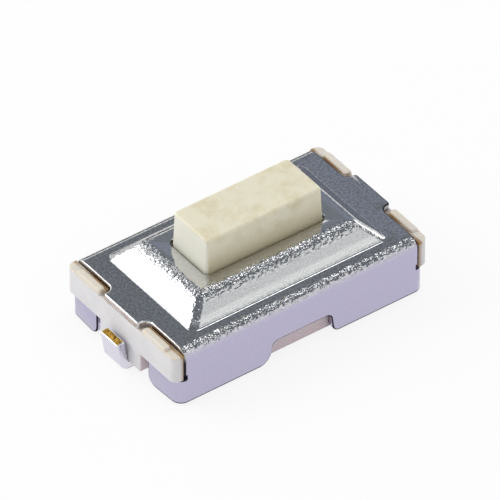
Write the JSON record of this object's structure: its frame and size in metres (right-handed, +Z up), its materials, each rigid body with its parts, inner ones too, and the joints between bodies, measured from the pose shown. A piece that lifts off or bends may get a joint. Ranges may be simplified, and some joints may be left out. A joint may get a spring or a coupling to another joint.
{
  "type": "tactile push button switch",
  "caption": "Low surface-mount tactile switch with an oblong cream button, a drawn metal cover clasping a moulded base, and a turned-up solder terminal at each end.",
  "frame": {"origin": "centre of the seating plane, where the undersides of the two terminals rest", "axes": "+X along the length towards the common terminal, +Z up along the button"},
  "size_m": [0.0066, 0.0036, 0.0025],
  "materials": {
    "white_moulding": "satin moulding",
    "cream_moulding": "satin moulding",
    "cover_steel": "bright plated sheet",
    "terminal_plate": "silver plate with bare cut edges",
    "dome_steel": "bright"
  },
  "bodies": {
    "housing": {"base": "white_moulding", "terminal_common": "terminal_plate", "terminal_centre": "terminal_plate", "contact_dome": "dome_steel", "cover": "cover_steel"},
    "button": {"button": "cream_moulding"}
  },
  "joints": [
    {"name": "button_press", "type": "slide", "parent": "housing", "child": "button", "axis": [0, 0, -1], "range_m": [0, 0.00025], "stiffness_N_per_m": 6400, "deforming": ["contact_dome"]}
  ]
}
